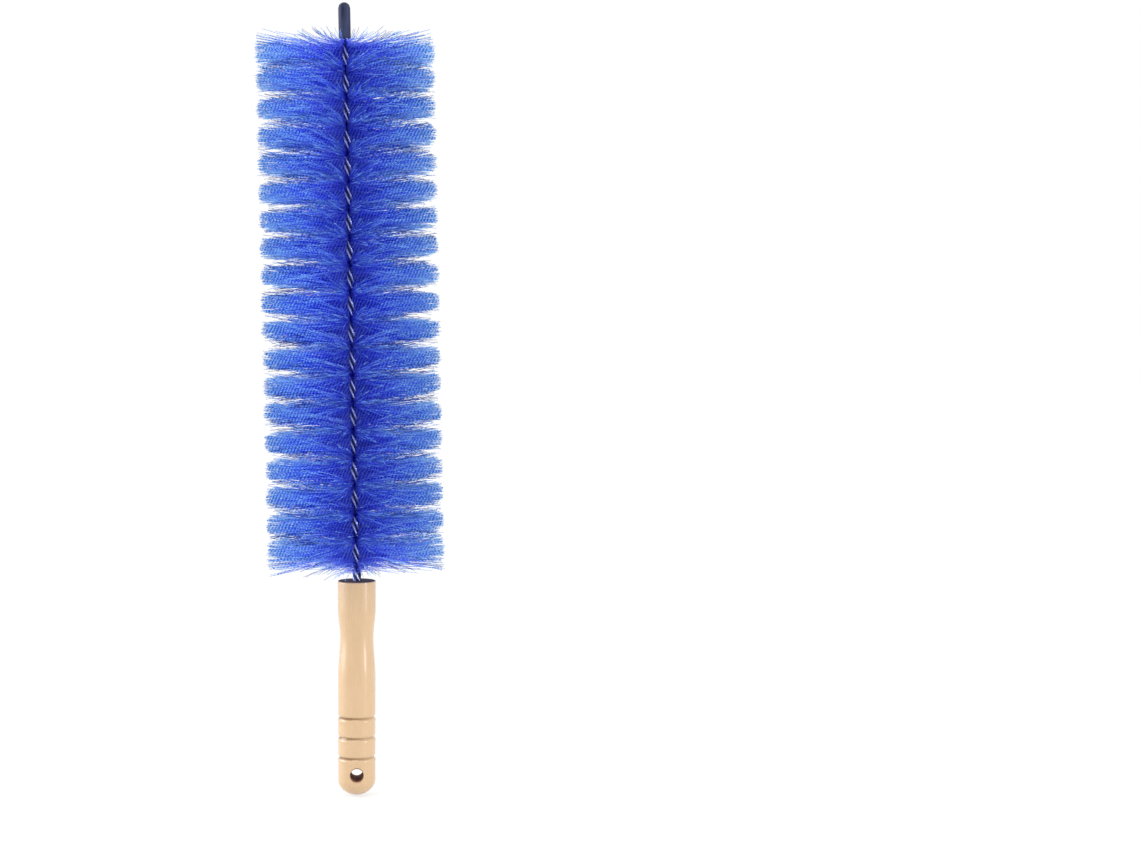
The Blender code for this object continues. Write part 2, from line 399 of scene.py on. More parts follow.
def beech():
    """Steamed beech, turned on a lathe, sanded and given one coat of satin clear lacquer. The eye sees a warm pale
    wood whose tint drifts between pink and straw, fine streaks along the handle and short darker flecks. Painted shade
    darkens the grooves, more on one side, and the drilled hole's wall. The dull end grain at the mouth is darker,
    partly as end grain and partly from the painted shade and blue reflection of the bristles over it."""
    made, add = new_material("satin_lacquered_beech")
    place = add("ShaderNodeTexCoord").node.outputs["Object"]

    # Growth streaks 1.2 mm apart across the grain, drawn out thirty times along it
    along = add("ShaderNodeMapping", {"Vector": place, "Scale": (1, 1, 0.035)})
    streak = add("ShaderNodeTexNoise", {"Vector": along, "Scale": 850, "Detail": 3, "Roughness": 0.6})
    drift = add("ShaderNodeTexNoise", {"Vector": place, "Scale": 70, "Detail": 2})
    tint = add("ShaderNodeMix", {0: drift, 6: linear("#C2A180"), 7: linear("#BB9B71")}, data_type="RGBA")
    streaked = add("ShaderNodeMix", {0: streak, 6: linear("#D6BC9B"), 7: linear("#BE9C6C")}, data_type="RGBA")
    wood = add("ShaderNodeMix", {0: 0.35, 6: tint, 7: streaked}, data_type="RGBA")

    # Ray flecks, 0.3 mm wide and some 3 mm long
    flecked = add("ShaderNodeMapping", {"Vector": place, "Scale": (1, 1, 0.11)})
    cells = add("ShaderNodeTexVoronoi", {"Vector": flecked, "Scale": 1500})
    fleck = add("ShaderNodeMapRange", {"Value": cells, 1: 0.08, 2: 0.24, 3: 0.28, 4: 0})
    wood = add("ShaderNodeMix", {0: fleck, 6: wood, 7: linear("#B08A60")}, data_type="RGBA")

    # Painted shade in the grooves, where the surface lies under the grip's own radius, more to one side (-X)
    spot = add("ShaderNodeSeparateXYZ", {0: place}).node.outputs
    round_spot = add("ShaderNodeCombineXYZ", {0: spot[0], 1: spot[1]})
    radius = add("ShaderNodeVectorMath", {0: round_spot}, operation="LENGTH")
    deep = add(
        "ShaderNodeMapRange", {"Value": radius, 1: GRIP_RADIUS - 0.00012, 2: GRIP_RADIUS - 0.00055, 3: 0, 4: 0.8}
    )
    low, high = HANDLE_LOW.z + DOME_HEIGHT, HANDLE_LOW.z + GROOVES_TOP
    in_grip = add("ShaderNodeMath", {0: spot[2], 1: high}, operation="LESS_THAN")
    off_dome = add("ShaderNodeMath", {0: spot[2], 1: low}, operation="GREATER_THAN")
    shown = add("ShaderNodeMath", {0: in_grip, 1: off_dome}, operation="MULTIPLY")
    uneven = add("ShaderNodeMapRange", {"Value": spot[0], 1: -0.3 * GRIP_RADIUS, 2: 0.7 * GRIP_RADIUS, 3: 1, 4: 0.3})
    shown = add("ShaderNodeMath", {0: shown, 1: uneven}, operation="MULTIPLY")
    groove_shade = add("ShaderNodeMath", {0: deep, 1: shown}, operation="MULTIPLY")
    wood = add("ShaderNodeMix", {0: groove_shade, 6: wood, 7: linear("#7E5A34")}, data_type="RGBA")

    # Painted shade on the drilled hole's wall
    beside_hole = add("ShaderNodeCombineXYZ", {0: spot[0], 2: spot[2]})
    from_hole = add("ShaderNodeVectorMath", {0: beside_hole}, operation="LENGTH")
    hole_wall_shade = add(
        "ShaderNodeMapRange",
        {"Value": from_hole, 1: HOLE_RADIUS + HOLE_FLARE, 2: HOLE_RADIUS + HOLE_FLARE / 4, 3: 0, 4: 0.92},
    )
    wood = add("ShaderNodeMix", {0: hole_wall_shade, 6: wood, 7: linear("#8A5A48")}, data_type="RGBA")

    # End grain at the mouth, darker than side grain, with painted shade and a blue reflection from the bristles over
    # it
    rim = HANDLE_HIGH.z - RIM_ROUND
    end_grain_and_shade = add(
        "ShaderNodeMapRange", {"Value": spot[2], 1: rim + 0.35 * RIM_ROUND, 2: rim + 0.98 * RIM_ROUND, 3: 0, 4: 0.9}
    )
    wood = add("ShaderNodeMix", {0: end_grain_and_shade, 6: wood, 7: linear("#33222E")}, data_type="RGBA")

    rough = add("ShaderNodeMapRange", {"Value": streak, 1: 0.3, 2: 0.7, 3: 0.24, 4: 0.34})
    raw = add("ShaderNodeMath", {0: hole_wall_shade, 1: end_grain_and_shade}, operation="MAXIMUM")
    rough = add("ShaderNodeMix", {0: raw, 2: rough, 3: 0.95})
    coat = add("ShaderNodeMapRange", {"Value": raw, 1: 0, 2: 0.5, 3: 0.5, 4: 0})
    bump = add("ShaderNodeBump", {"Strength": 0.1, "Distance": 0.0001, "Height": streak})
    shader = add(
        "ShaderNodeBsdfPrincipled",
        {"Base Color": wood, "Roughness": rough, "Normal": bump, "Coat Weight": coat, "Coat Roughness": 0.2},
    )
    add("ShaderNodeOutputMaterial", {0: shader})
    return made


# Stem


def wire_tree(values):
    """Geometry nodes that twist one wire to the left at a fixed place beside the band of bristle roots."""
    tree, add, given = new_tree("twisted_wire", values)
    start = add("ShaderNodeCombineXYZ", {2: given["Bottom"]})
    end = add("ShaderNodeCombineXYZ", {2: given["Top"]})
    line = add("GeometryNodeCurvePrimitiveLine", {"Start": start, "End": end})
    points = add("GeometryNodeResampleCurve", {"Curve": line, "Count": given["Points"]})
    place = add("GeometryNodeInputPosition")
    height = add("ShaderNodeSeparateXYZ", {0: place}).node.outputs[2]
    above = add("ShaderNodeMath", {0: given["Turn Zero"], 1: height}, operation="SUBTRACT")
    halves = add("ShaderNodeMath", {0: above, 1: given["Half Turn"]}, operation="DIVIDE")
    angle = add("ShaderNodeMath", {0: halves, 1: math.pi}, operation="MULTIPLY")
    beside = add("ShaderNodeCombineXYZ", {0: given["Along Band"], 1: given["Off Band"]})
    offset = add("ShaderNodeVectorRotate", {"Vector": beside, "Angle": angle}, rotation_type="Z_AXIS")
    helix = add("GeometryNodeSetPosition", {"Geometry": points, "Offset": offset})
    radius = add("ShaderNodeMath", {0: given["Diameter"], 1: 0.5}, operation="MULTIPLY")
    ring = add("GeometryNodeCurvePrimitiveCircle", {"Resolution": given["Sides"], "Radius": radius})
    wire = add("GeometryNodeCurveToMesh", {"Curve": helix, "Profile Curve": ring, "Fill Caps": True})
    real = add("GeometryNodeRealizeInstances", {0: wire})
    dressed = add("GeometryNodeSetMaterial", {0: real, "Material": given["Material"]})
    add("NodeGroupOutput", {0: dressed})
    return tree


def make_wires(material):
    """The four wires of the stem, from just off the socket's floor to just under the cap's end."""
    bottom = WIRE_CLEARANCE - SOCKET_DEPTH
    top = CAP_START + CAP_LENGTH - CAP_END - WIRE_CLEARANCE
    values = {
        "Bottom": bottom,
        "Top": top,
        "Along Band": WIRE_ALONG_BAND,
        "Off Band": WIRE_OFF_BAND,
        "Turn Zero": FIRST_ROW_HEIGHT + HALF_TURN / 2,
        "Half Turn": HALF_TURN,
        "Diameter": WIRE_DIAMETER,
        "Points": round((top - bottom) / (2 * HALF_TURN) * WIRE_POINTS_A_TURN),
        "Sides": WIRE_SIDES,
        "Material": material,
    }
    tree = wire_tree(values)
    for number, (along_side, off_side) in enumerate([(1, 1), (-1, 1), (-1, -1), (1, -1)], start=1):
        place = {"Along Band": along_side * WIRE_ALONG_BAND, "Off Band": off_side * WIRE_OFF_BAND}
        wire = run_tree(f"drawn_wire_{number}", tree, values | place)
        wear(wire, material)
        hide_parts(f"wire_strand_{number}")


def drawn_steel():
    """Plain steel wire, cold drawn through a die, left dark and twisted hard. Its colour holds painted light: a
    blue-grey whose blue stands in for the bristles' reflection, painted shade in the valleys and a painted highlight
    along the outer crests, with fine drawing marks that break up the highlights."""
    made, add = new_material("dark_drawn_steel")
    place = add("ShaderNodeTexCoord").node.outputs["Object"]
    # Painted highlight along the outer crests, away from the stem's axis, and painted shade in the valleys, in patches
    in_stem = add(
        "ShaderNodeMapping",
        {"Vector": place, "Location": (0, 0, HANDLE_HIGH.z), "Rotation": (0, STEM_LEAN, 0)},
        vector_type="TEXTURE",
    )
    round_stem = add("ShaderNodeVectorMath", {0: in_stem, 1: (1, 1, 0)}, operation="MULTIPLY")
    from_axis = add("ShaderNodeVectorMath", {0: round_stem}, operation="LENGTH")
    crest = math.hypot(WIRE_ALONG_BAND, WIRE_OFF_BAND) + WIRE_DIAMETER / 2
    crest_highlight = add("ShaderNodeMapRange", {"Value": from_axis, 1: crest - 0.0003, 2: crest - 0.00005, 3: 0, 4: 1})
    patches = add("ShaderNodeTexNoise", {"Vector": place, "Scale": 420, "Detail": 3})
    patches = add("ShaderNodeMapRange", {"Value": patches, 1: 0.35, 2: 0.6, 3: 0.35, 4: 1})
    crest_highlight = add("ShaderNodeMath", {0: crest_highlight, 1: patches}, operation="MULTIPLY")
    colour = add("ShaderNodeMix", {0: crest_highlight, 6: linear("#7880A8"), 7: linear("#A8B2E4")}, data_type="RGBA")
    # Drawing marks 0.15 mm apart
    marks = add("ShaderNodeTexNoise", {"Vector": place, "Scale": 6500, "Detail": 1})
    rough = add("ShaderNodeMapRange", {"Value": marks, 1: 0.3, 2: 0.7, 3: 0.22, 4: 0.36})
    bump = add("ShaderNodeBump", {"Strength": 0.15, "Distance": 0.00003, "Height": marks})
    shader = add("ShaderNodeBsdfPrincipled", {"Base Color": colour, "Metallic": 1, "Roughness": rough, "Normal": bump})
    add("ShaderNodeOutputMaterial", {0: shader})
    return made


def make_cap(material):
    """The soft cup over the cut wire ends, with a bullet-shaped end and a rounded lip."""
    outer = CAP_BORE_RADIUS + CAP_WALL
    end_height = CAP_ROUND_SHARE * outer
    lip = CAP_WALL / 2
    profile = []
    for step in range(CAP_ROUND_STEPS + 1):
        angle = step / CAP_ROUND_STEPS * math.pi / 2
        height = CAP_LENGTH - end_height * (1 - math.cos(angle))
        profile.append((outer * math.sin(angle) ** CAP_ROUND_POWER, height))
    for step in range(1, CAP_WALL_STEPS):
        height = (CAP_LENGTH - end_height) + (lip - CAP_LENGTH + end_height) * step / CAP_WALL_STEPS
        profile.append((outer, height))
    for step in range(CAP_LIP_STEPS + 1):
        angle = step / CAP_LIP_STEPS * math.pi
        profile.append((CAP_BORE_RADIUS + lip + lip * math.cos(angle), lip - lip * math.sin(angle)))
    profile += [(CAP_BORE_RADIUS, CAP_LENGTH - CAP_END), (0, CAP_LENGTH - CAP_END)]
    cap = turned("vinyl_tip_cap", profile, CAP_SIDES)
    plain_mesh(cap)
    cap.data.transform(stem_matrix() @ Matrix.Translation((0, 0, CAP_START)))
    cap.data.shade_smooth()
    cap.data.set_sharp_from_angle(angle=CAP_CORNER)
    wear(cap, material)
    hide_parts("tip_cap")


def soft_vinyl():
    """Plasticised PVC, dip-moulded. The eye sees a soft charcoal with a broad dull highlight, a faint orange-peel
    unevenness from the dipping and a little dust haze."""
    made, add = new_material("dip_moulded_vinyl")
    place = add("ShaderNodeTexCoord").node.outputs["Object"]
    # Runs of the dip, some 2 mm wide down the cap
    down = add("ShaderNodeMapping", {"Vector": place, "Scale": (1, 1, 0.12)})
    haze = add("ShaderNodeTexNoise", {"Vector": down, "Scale": 520, "Detail": 3})
    streak = add("ShaderNodeMapRange", {"Value": haze, 1: 0.35, 2: 0.65, 3: 0, 4: 1})
    colour = add("ShaderNodeMix", {0: streak, 6: linear("#121834"), 7: linear("#323A56")}, data_type="RGBA")
    # Orange peel, 0.9 mm across
    peel = add("ShaderNodeTexNoise", {"Vector": place, "Scale": 1100, "Detail": 1})
    rough = add("ShaderNodeMapRange", {"Value": haze, 1: 0.3, 2: 0.7, 3: 0.5, 4: 0.68})
    bump = add("ShaderNodeBump", {"Strength": 0.2, "Distance": 0.0001, "Height": peel})
    shader = add(
        "ShaderNodeBsdfPrincipled",
        {"Base Color": colour, "Roughness": rough, "Specular IOR Level": 0.25, "Normal": bump},
    )
    add("ShaderNodeOutputMaterial", {0: shader})
    return made


# Bristles


def bristle_tree(values):
    """Geometry nodes that fill one half turn of the twist with crimped filaments.

    Each filament leaves the pinched band on one of its two edges, so its direction turns with its height. It is a
    line of straight crimps, given a thickness and then set on its root, tilted, rolled and bent a little."""
    tree, add, given = new_tree("bristle_row", values)
    index = add("GeometryNodeInputIndex")
    odd = add("ShaderNodeMath", {0: index, 1: 2}, operation="FLOORED_MODULO")
    # What chance gives each filament, from -1 to 1, each with a seed of its own
    draws = {0: "step", 1: "turn", 2: "band", 3: "lobe", 4: "stray"}
    draws |= {6: "roll", 7: "trim", 8: "loose", 9: "front", 10: "fill"}
    chance = {}
    for number, name in draws.items():
        seed = add("ShaderNodeMath", {0: given["Seed"], 1: number * SEED_STEP}, operation="ADD")
        chance[name] = add("FunctionNodeRandomValue", {2: -1, 3: 1, "Seed": seed})

    # One filament along X: a crimped line with a three-sided section
    tip = add("ShaderNodeCombineXYZ", {0: given["Reach"]})
    line = add("GeometryNodeCurvePrimitiveLine", {"End": tip})
    count = add("ShaderNodeMath", {0: given["Crimps"], 1: 1}, operation="ADD")
    points = add("GeometryNodeResampleCurve", {"Curve": line, "Count": count})
    factor = add("GeometryNodeSplineParameter")
    marked = add("GeometryNodeStoreNamedAttribute", {"Geometry": points, "Name": "along", "Value": factor})
    rise = add("ShaderNodeMath", {0: factor, 1: given["Crimp Rise"]}, operation="MULTIPLY", use_clamp=True)
    swing = add("ShaderNodeMath", {0: odd, 1: 0.5}, operation="SUBTRACT")
    swing = add("ShaderNodeMath", {0: swing, 1: rise}, operation="MULTIPLY")
    swing = add("ShaderNodeMath", {0: swing, 1: given["Crimp Depth"]}, operation="MULTIPLY")
    crimp = add("ShaderNodeCombineXYZ", {1: swing})
    crimped = add("GeometryNodeSetPosition", {"Geometry": marked, "Offset": crimp})
    radius = add("ShaderNodeMath", {0: given["Diameter"], 1: 0.5}, operation="MULTIPLY")
    ring = add("GeometryNodeCurvePrimitiveCircle", {"Resolution": 3, "Radius": radius})
    section = add("GeometryNodeStoreNamedAttribute", {"Geometry": ring, "Name": "around", "Value": factor})
    filament = add("GeometryNodeCurveToMesh", {"Curve": crimped, "Profile Curve": section, "Fill Caps": True})

    # The roots, at even steps up the half turn and on the band's two edges by turns
    numbered = add("ShaderNodeMath", {0: chance["step"], 1: 0.5, 2: index}, operation="MULTIPLY_ADD")
    share = add("ShaderNodeMath", {0: numbered, 1: given["Filaments"]}, operation="DIVIDE")
    height = add(
        "ShaderNodeMath", {0: share, 1: given["Row Height"], 2: given["Root Height"]}, operation="MULTIPLY_ADD"
    )
    to_middle = add("ShaderNodeMath", {0: 0.5, 1: share}, operation="SUBTRACT")
    halves = add("ShaderNodeMath", {0: to_middle, 1: odd}, operation="ADD")
    band = add("ShaderNodeMath", {0: halves, 1: math.pi}, operation="MULTIPLY")
    # The direction a filament takes, from the side it stands on: its root's place in the twist, to the front or
    # the back by chance, and some turn of its own
    front = add("ShaderNodeMath", {0: chance["front"]}, operation="SIGN")
    quarter = add("ShaderNodeMath", {0: to_middle, 1: math.pi}, operation="MULTIPLY")
    quarter = add("ShaderNodeMath", {0: quarter, 1: given["Front Share"]}, operation="MULTIPLY")
    own_turn = add("ShaderNodeMath", {0: chance["turn"], 1: given["Turn"]}, operation="MULTIPLY")
    aside = add("ShaderNodeMath", {0: quarter, 1: front, 2: own_turn}, operation="MULTIPLY_ADD")
    # None points straight over the wires to the front or the back: what would is folded back to its own side
    aside = add("ShaderNodeMath", {0: aside, 1: given["Most Aside"]}, operation="ADD")
    widest = add("ShaderNodeMath", {0: given["Most Aside"], 1: 2}, operation="MULTIPLY")
    aside = add("ShaderNodeMath", {0: aside, 1: widest}, operation="PINGPONG")
    aside = add("ShaderNodeMath", {0: aside, 1: given["Most Aside"]}, operation="SUBTRACT")
    turn = add("ShaderNodeMath", {0: odd, 1: math.pi, 2: aside}, operation="MULTIPLY_ADD")
    off_band = add("ShaderNodeMath", {0: chance["band"], 1: given["Band Half Thickness"]}, operation="MULTIPLY")
    off_band = add("ShaderNodeCombineXYZ", {1: off_band})
    off_band = add("ShaderNodeVectorRotate", {"Vector": off_band, "Angle": band}, rotation_type="Z_AXIS")
    root_place = add("ShaderNodeMath", {0: share, 1: 2, 2: -1}, operation="MULTIPLY_ADD")
    upper = add("ShaderNodeMath", {0: root_place}, operation="SIGN")
    outer = add("ShaderNodeMath", {0: upper, 1: given["Outer Side"]}, operation="MULTIPLY", use_clamp=True)
    last_roots = add("ShaderNodeMath", {0: root_place, 1: given["Run Power"]}, operation="POWER")
    run_on = add("ShaderNodeMath", {0: last_roots, 1: given["End Run"]}, operation="MULTIPLY")
    height = add("ShaderNodeMath", {0: run_on, 1: outer, 2: height}, operation="MULTIPLY_ADD")
    root = add("ShaderNodeCombineXYZ", {2: height})
    root = add("ShaderNodeVectorMath", {0: root, 1: off_band}, operation="ADD")
    roots = add("GeometryNodePoints", {"Count": given["Filaments"], "Position": root})

    # The tips lie on the twisted sheet: level with the middle of the half turn at the sides, and half a row higher
    # or lower at the front and the back. Folded is 0 for what points to a side and 1 for the front and the back
    folded = add("ShaderNodeMath", {0: aside}, operation="COSINE")
    folded = add("ShaderNodeMath", {0: folded}, operation="ABSOLUTE")
    folded = add("ShaderNodeMath", {0: folded}, operation="ARCCOSINE")
    folded = add("ShaderNodeMath", {0: folded, 1: math.pi / 2}, operation="DIVIDE")
    spread = add("ShaderNodeMath", {0: chance["fill"]}, operation="ABSOLUTE")
    spread = add("ShaderNodeMath", {0: spread, 1: outer}, operation="MULTIPLY")
    fill = add("ShaderNodeMath", {0: spread, 1: given["End Fill Share"]}, operation="MULTIPLY")
    # The last tips of the end rows stand up in a crown at the front and the back
    crowned = add(
        "ShaderNodeMapRange",
        {"Value": folded, 1: given["Crown Start"], 2: given["Crown Full"], 3: 0, 4: 1},
        interpolation_type="SMOOTHSTEP",
    )
    faded = add(
        "ShaderNodeMapRange", {"Value": folded, 1: given["Crown Fade Start"], 2: 1, 3: 1, 4: given["Crown Fade Share"]}
    )
    stood_up = add("ShaderNodeMath", {0: faded, 1: given["Crown Share"]}, operation="MULTIPLY")
    crown = add("ShaderNodeMix", {0: crowned, 2: fill, 3: stood_up})
    twisted = add("ShaderNodeMath", {0: folded, 1: given["Sheet Power"]}, operation="POWER")
    fan = add("ShaderNodeMix", {0: outer, 2: twisted, 3: crown})
    sheet = add("ShaderNodeMath", {0: fan, 1: upper}, operation="MULTIPLY")
    own_spread = add("ShaderNodeMix", {0: folded, 2: given["Lobe Spread Share"], 3: given["Front Spread Share"]})
    in_crown = add("ShaderNodeMath", {0: crowned, 1: outer}, operation="MULTIPLY")
    own_spread = add("ShaderNodeMix", {0: in_crown, 2: own_spread, 3: given["Crown Spread Share"]})
    loose_spread = add("ShaderNodeMix", {0: outer, 2: given["Loose Spread Share"], 3: given["Crown Spread Share"]})
    lobed = add("ShaderNodeMath", {0: chance["lobe"], 1: own_spread, 2: sheet}, operation="MULTIPLY_ADD")
    loose_lift = add("ShaderNodeMath", {0: sheet, 1: outer}, operation="MULTIPLY")
    # Loose filaments stand between two lobes, and mostly come from the roots there: three times the square of a
    # root's place, which is one on average, weighs the odds
    over = add("ShaderNodeMath", {0: upper, 1: given["Loose Place Share"]}, operation="MULTIPLY")
    over = add("ShaderNodeMix", {0: outer, 2: over, 3: 0})
    loose_lift = add("ShaderNodeMath", {0: loose_lift, 1: over}, operation="ADD")
    astray = add("ShaderNodeMath", {0: chance["lobe"], 1: loose_spread, 2: loose_lift}, operation="MULTIPLY_ADD")
    near_next = add("ShaderNodeMath", {0: root_place, 1: root_place}, operation="MULTIPLY")
    near_next = add("ShaderNodeMath", {0: near_next, 1: 3}, operation="MULTIPLY")
    loose_odds = add("ShaderNodeMath", {0: near_next, 1: given["Loose Share"]}, operation="MULTIPLY", use_clamp=True)
    loose = add("FunctionNodeRandomValue", {"Probability": loose_odds, "Seed": given["Seed"]}, data_type="BOOLEAN")
    tip_place = add("ShaderNodeMix", {0: loose, 2: lobed, 3: astray})
    from_middle = add("ShaderNodeMath", {0: tip_place, 1: given["Lobe Half Height"]}, operation="MULTIPLY")
    half_row = add("ShaderNodeMath", {0: given["Row Height"], 1: -0.5}, operation="MULTIPLY")
    lift = add("ShaderNodeMath", {0: root_place, 1: half_row, 2: from_middle}, operation="MULTIPLY_ADD")
    sideways = add("ShaderNodeMath", {0: 1, 1: folded}, operation="SUBTRACT")
    splay = add("ShaderNodeMath", {0: spread, 1: 2}, operation="POWER")
    splay = add("ShaderNodeMath", {0: splay, 1: sideways}, operation="MULTIPLY")
    splay = add("ShaderNodeMath", {0: splay, 1: given["End Splay"]}, operation="MULTIPLY")
    splay = add("ShaderNodeMath", {0: splay, 1: given["End Draw"]}, operation="SUBTRACT")
    splay = add("ShaderNodeMath", {0: splay, 1: given["Outer Side"]}, operation="MULTIPLY")
    lift = add("ShaderNodeMath", {0: lift, 1: splay}, operation="ADD")
    lift = add("ShaderNodeMath", {0: lift, 1: given["Tip Rise"]}, operation="ADD")
    # The crown's filaments stand up by a bend near their tips, and are tilted the less
    curl = add("ShaderNodeMath", {0: in_crown, 1: given["Crown Bend"]}, operation="MULTIPLY")
    curl = add("ShaderNodeMath", {0: curl, 1: given["Outer Side"]}, operation="MULTIPLY")
    lift = add("ShaderNodeMath", {0: lift, 1: curl}, operation="SUBTRACT")
    outward = add("ShaderNodeVectorRotate", {"Vector": (1, 0, 0), "Angle": turn}, rotation_type="Z_AXIS")
    uneven = add(
        "ShaderNodeTexNoise", {"Vector": outward, "W": given["Seed"], "Scale": 1.1, "Detail": 1}, noise_dimensions="4D"
    )
    uneven = add("ShaderNodeMath", {0: uneven, 1: 2, 2: -1}, operation="MULTIPLY_ADD")
    lift = add("ShaderNodeMath", {0: uneven, 1: given["Lobe Wander"], 2: lift}, operation="MULTIPLY_ADD")
    even = add("ShaderNodeMath", {0: lift, 1: given["Reach"]}, operation="DIVIDE")
    rare = add("ShaderNodeMath", {0: chance["stray"], 1: given["Stray Power"]}, operation="POWER")
    tilt = add("ShaderNodeMath", {0: rare, 1: given["Stray Tilt"], 2: even}, operation="MULTIPLY_ADD")
    down = add("ShaderNodeMath", {0: tilt, 1: -1}, operation="MULTIPLY")
    roll = add("ShaderNodeMath", {0: chance["roll"], 1: math.pi}, operation="MULTIPLY")
    angles = add("ShaderNodeCombineXYZ", {0: roll, 1: down, 2: turn})
    rotation = add("FunctionNodeEulerToRotation", {0: angles})
    shorter = add("ShaderNodeMath", {0: chance["trim"], 1: given["Reach Scatter Share"]}, operation="MULTIPLY")
    shorter = add("ShaderNodeMath", {0: shorter}, operation="ABSOLUTE")
    length = add("ShaderNodeMath", {0: 1, 1: shorter}, operation="SUBTRACT")
    from_heart = add("ShaderNodeMath", {0: chance["lobe"]}, operation="ABSOLUTE")
    edge = add("ShaderNodeMath", {0: from_heart, 1: given["Lobe Rounding Power"]}, operation="POWER")
    edge = add("ShaderNodeMath", {0: edge, 1: given["Lobe Rounding Share"]}, operation="MULTIPLY")
    inner = add("ShaderNodeMath", {0: 1, 1: outer}, operation="SUBTRACT")
    edge = add("ShaderNodeMath", {0: edge, 1: inner}, operation="MULTIPLY")
    lobed_length = add("ShaderNodeMath", {0: length, 1: edge}, operation="SUBTRACT")
    bent_length = add(
        "ShaderNodeMath",
        {0: chance["loose"], 1: given["Loose Length Scatter"], 2: given["Loose Length Share"]},
        operation="MULTIPLY_ADD",
    )
    length = add("ShaderNodeMix", {0: loose, 2: lobed_length, 3: bent_length})
    scale = add("ShaderNodeCombineXYZ", {0: length, 1: 1, 2: 1})
    placed = add(
        "GeometryNodeInstanceOnPoints", {"Points": roots, "Instance": filament, "Rotation": rotation, "Scale": scale}
    )

    # Its tone, painted light or shade for some, and its bend
    last_tone = add("ShaderNodeMath", {0: given["Tones"], 1: 1}, operation="SUBTRACT")
    common_tone = add("ShaderNodeMath", {0: given["Tones"], 1: 2}, operation="SUBTRACT")
    own_tone = add("FunctionNodeRandomValue", {4: 1, 5: common_tone, "Seed": given["Seed"]}, data_type="INT")
    # Painted light and shade: the side of a lobe that faces the brush's middle is painted pale as if lit, the other
    # painted dark as if in shade; of the loose filaments and the crown's, which show one by one, some are painted pale
    # and some painted shaded
    single = add("ShaderNodeMath", {0: loose, 1: in_crown}, operation="MAXIMUM")
    shade_side = add("ShaderNodeMath", {0: chance["lobe"], 1: given["Shaded Side"]}, operation="MULTIPLY")
    lit_side = add("ShaderNodeMath", {0: shade_side, 1: -1}, operation="MULTIPLY")
    pale_rim = add("ShaderNodeMath", {0: lit_side, 1: given["Rim Share"]}, operation="GREATER_THAN")
    pale_single = add("ShaderNodeMath", {0: chance["loose"], 1: given["Pale Below"]}, operation="LESS_THAN")
    pale = add("ShaderNodeMix", {0: single, 2: pale_rim, 3: pale_single})
    dark_rim = add("ShaderNodeMath", {0: shade_side, 1: given["Rim Share"]}, operation="GREATER_THAN")
    some = add("ShaderNodeMath", {0: chance["loose"], 1: given["Shaded Above"]}, operation="GREATER_THAN")
    dark_rim = add("ShaderNodeMath", {0: dark_rim, 1: some}, operation="MULTIPLY")
    dark = add("ShaderNodeMix", {0: single, 2: dark_rim, 3: some})
    pale = add("ShaderNodeMath", {0: pale, 1: 0.5}, operation="GREATER_THAN")
    dark = add("ShaderNodeMath", {0: dark, 1: 0.5}, operation="GREATER_THAN")
    tone = add("ShaderNodeMix", {0: pale, 2: own_tone, 3: last_tone})
    tone = add("ShaderNodeMix", {0: dark, 2: tone, 3: 0})
    toned = add(
        "GeometryNodeStoreNamedAttribute", {"Geometry": placed, "Name": "tone", "Value": tone}, domain="INSTANCE"
    )
    wander = add(
        "FunctionNodeRandomValue", {0: (-1, -1, -1), 1: (1, 1, 1), "Seed": given["Seed"]}, data_type="FLOAT_VECTOR"
    )
    wander = add("ShaderNodeVectorMath", {0: wander, "Scale": given["Sway"]}, operation="SCALE")
    curled = add("ShaderNodeCombineXYZ", {2: curl})
    wander = add("ShaderNodeVectorMath", {0: wander, 1: curled}, operation="ADD")
    swayed = add(
        "GeometryNodeStoreNamedAttribute",
        {"Geometry": toned, "Name": "sway", "Value": wander},
        domain="INSTANCE",
        data_type="FLOAT_VECTOR",
    )
    # Which way its crimp beads are counted: outwards on its own side, with a slant that leans the same way as seen
    # from every side
    way = {}
    for axis, operation in (("x", "COSINE"), ("y", "SINE")):
        part = add("ShaderNodeMath", {0: turn}, operation=operation)
        way[axis] = add("ShaderNodeMath", {0: part}, operation="SIGN")
    sidelong = add("ShaderNodeMath", {0: folded, 1: given["Sidelong Share"]}, operation="LESS_THAN")
    ahead = add("ShaderNodeMath", {0: 1, 1: sidelong}, operation="SUBTRACT")
    out_x = add("ShaderNodeMath", {0: way["x"], 1: sidelong}, operation="MULTIPLY")
    out_y = add("ShaderNodeMath", {0: way["y"], 1: ahead}, operation="MULTIPLY")
    hand = add("ShaderNodeMath", {0: way["x"], 1: way["y"]}, operation="MULTIPLY")
    hand = add("ShaderNodeMath", {0: hand, 1: given["Bead Slope"]}, operation="MULTIPLY")
    slant = add("ShaderNodeMath", {0: sidelong, 1: 2, 2: -1}, operation="MULTIPLY_ADD")
    slant = add("ShaderNodeMath", {0: slant, 1: hand}, operation="MULTIPLY")
    lead = add("ShaderNodeCombineXYZ", {0: out_x, 1: out_y, 2: slant})
    led = add(
        "GeometryNodeStoreNamedAttribute",
        {"Geometry": swayed, "Name": "lead", "Value": lead},
        domain="INSTANCE",
        data_type="FLOAT_VECTOR",
    )
    real = add("GeometryNodeRealizeInstances", {0: led})
    sway = add("GeometryNodeInputNamedAttribute", {"Name": "sway"}, data_type="FLOAT_VECTOR")
    along = add("GeometryNodeInputNamedAttribute", {"Name": "along"})
    bend = add("ShaderNodeMath", {0: along, 1: given["Bend Power"]}, operation="POWER")
    offset = add("ShaderNodeVectorMath", {0: sway, "Scale": bend}, operation="SCALE")
    bent = add("GeometryNodeSetPosition", {"Geometry": real, "Offset": offset})

